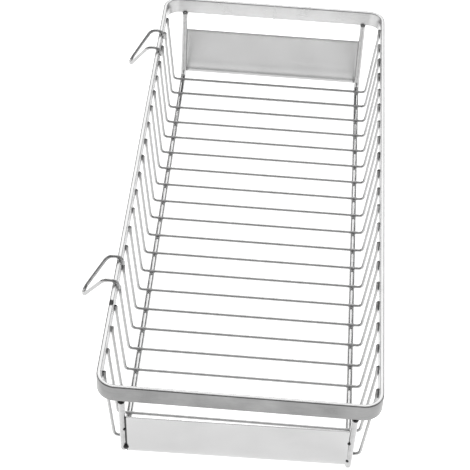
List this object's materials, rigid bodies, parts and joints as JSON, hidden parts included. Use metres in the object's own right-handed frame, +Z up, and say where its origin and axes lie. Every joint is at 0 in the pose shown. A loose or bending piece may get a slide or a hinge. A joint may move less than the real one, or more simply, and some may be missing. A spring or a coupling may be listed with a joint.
{
  "type": "dish drying rack",
  "caption": "Long shallow wire basket for drying dishes, with a flat steel rim, sheet end plates and side hooks that hang it on an edge.",
  "frame": {"origin": "middle of the basket, on the surface that it stands on (the hooks aren't counted)", "axes": "+X across the basket, away from the side with the hooks; +Y along the basket, from front to back; +Z up"},
  "size_m": [0.2364, 0.5003, 0.0905],
  "materials": {
    "bar": "satin, brushed along its length",
    "heavy_wire": "bright, electropolished",
    "cross_wire": "bright, electropolished",
    "sheet": "satin",
    "hook_wire": "bright, electropolished",
    "weld": "grey, slightly heat-tinted"
  },
  "bodies": {
    "root": {"rim_band": "bar", "rim_seam_weld": "weld", "long_wire_left": "heavy_wire", "long_wire_right": "heavy_wire", "cross_wire_01": "cross_wire", "cross_wire_02": "cross_wire", "cross_wire_03": "cross_wire", "cross_wire_04": "cross_wire", "cross_wire_05": "cross_wire", "cross_wire_06": "cross_wire", "cross_wire_07": "cross_wire", "cross_wire_08": "cross_wire", "cross_wire_09": "cross_wire", "cross_wire_10": "cross_wire", "cross_wire_11": "cross_wire", "cross_wire_12": "cross_wire", "cross_wire_13": "cross_wire", "cross_wire_14": "cross_wire", "cross_wire_15": "cross_wire", "cross_wire_16": "cross_wire", "cross_wire_17": "cross_wire", "cross_wire_18": "cross_wire", "cross_wire_19": "cross_wire", "cross_wire_20": "cross_wire", "cross_wire_21": "cross_wire", "end_plate_front": "sheet", "end_plate_back": "sheet", "hook_front": "hook_wire", "hook_back": "hook_wire", "hook_welds": "weld", "post_welds": "weld", "plate_welds_front": "weld", "plate_welds_back": "weld", "wire_end_welds_left": "weld", "wire_end_welds_right": "weld", "crossing_welds_left": "weld", "crossing_welds_right": "weld"}
  },
  "joints": []
}
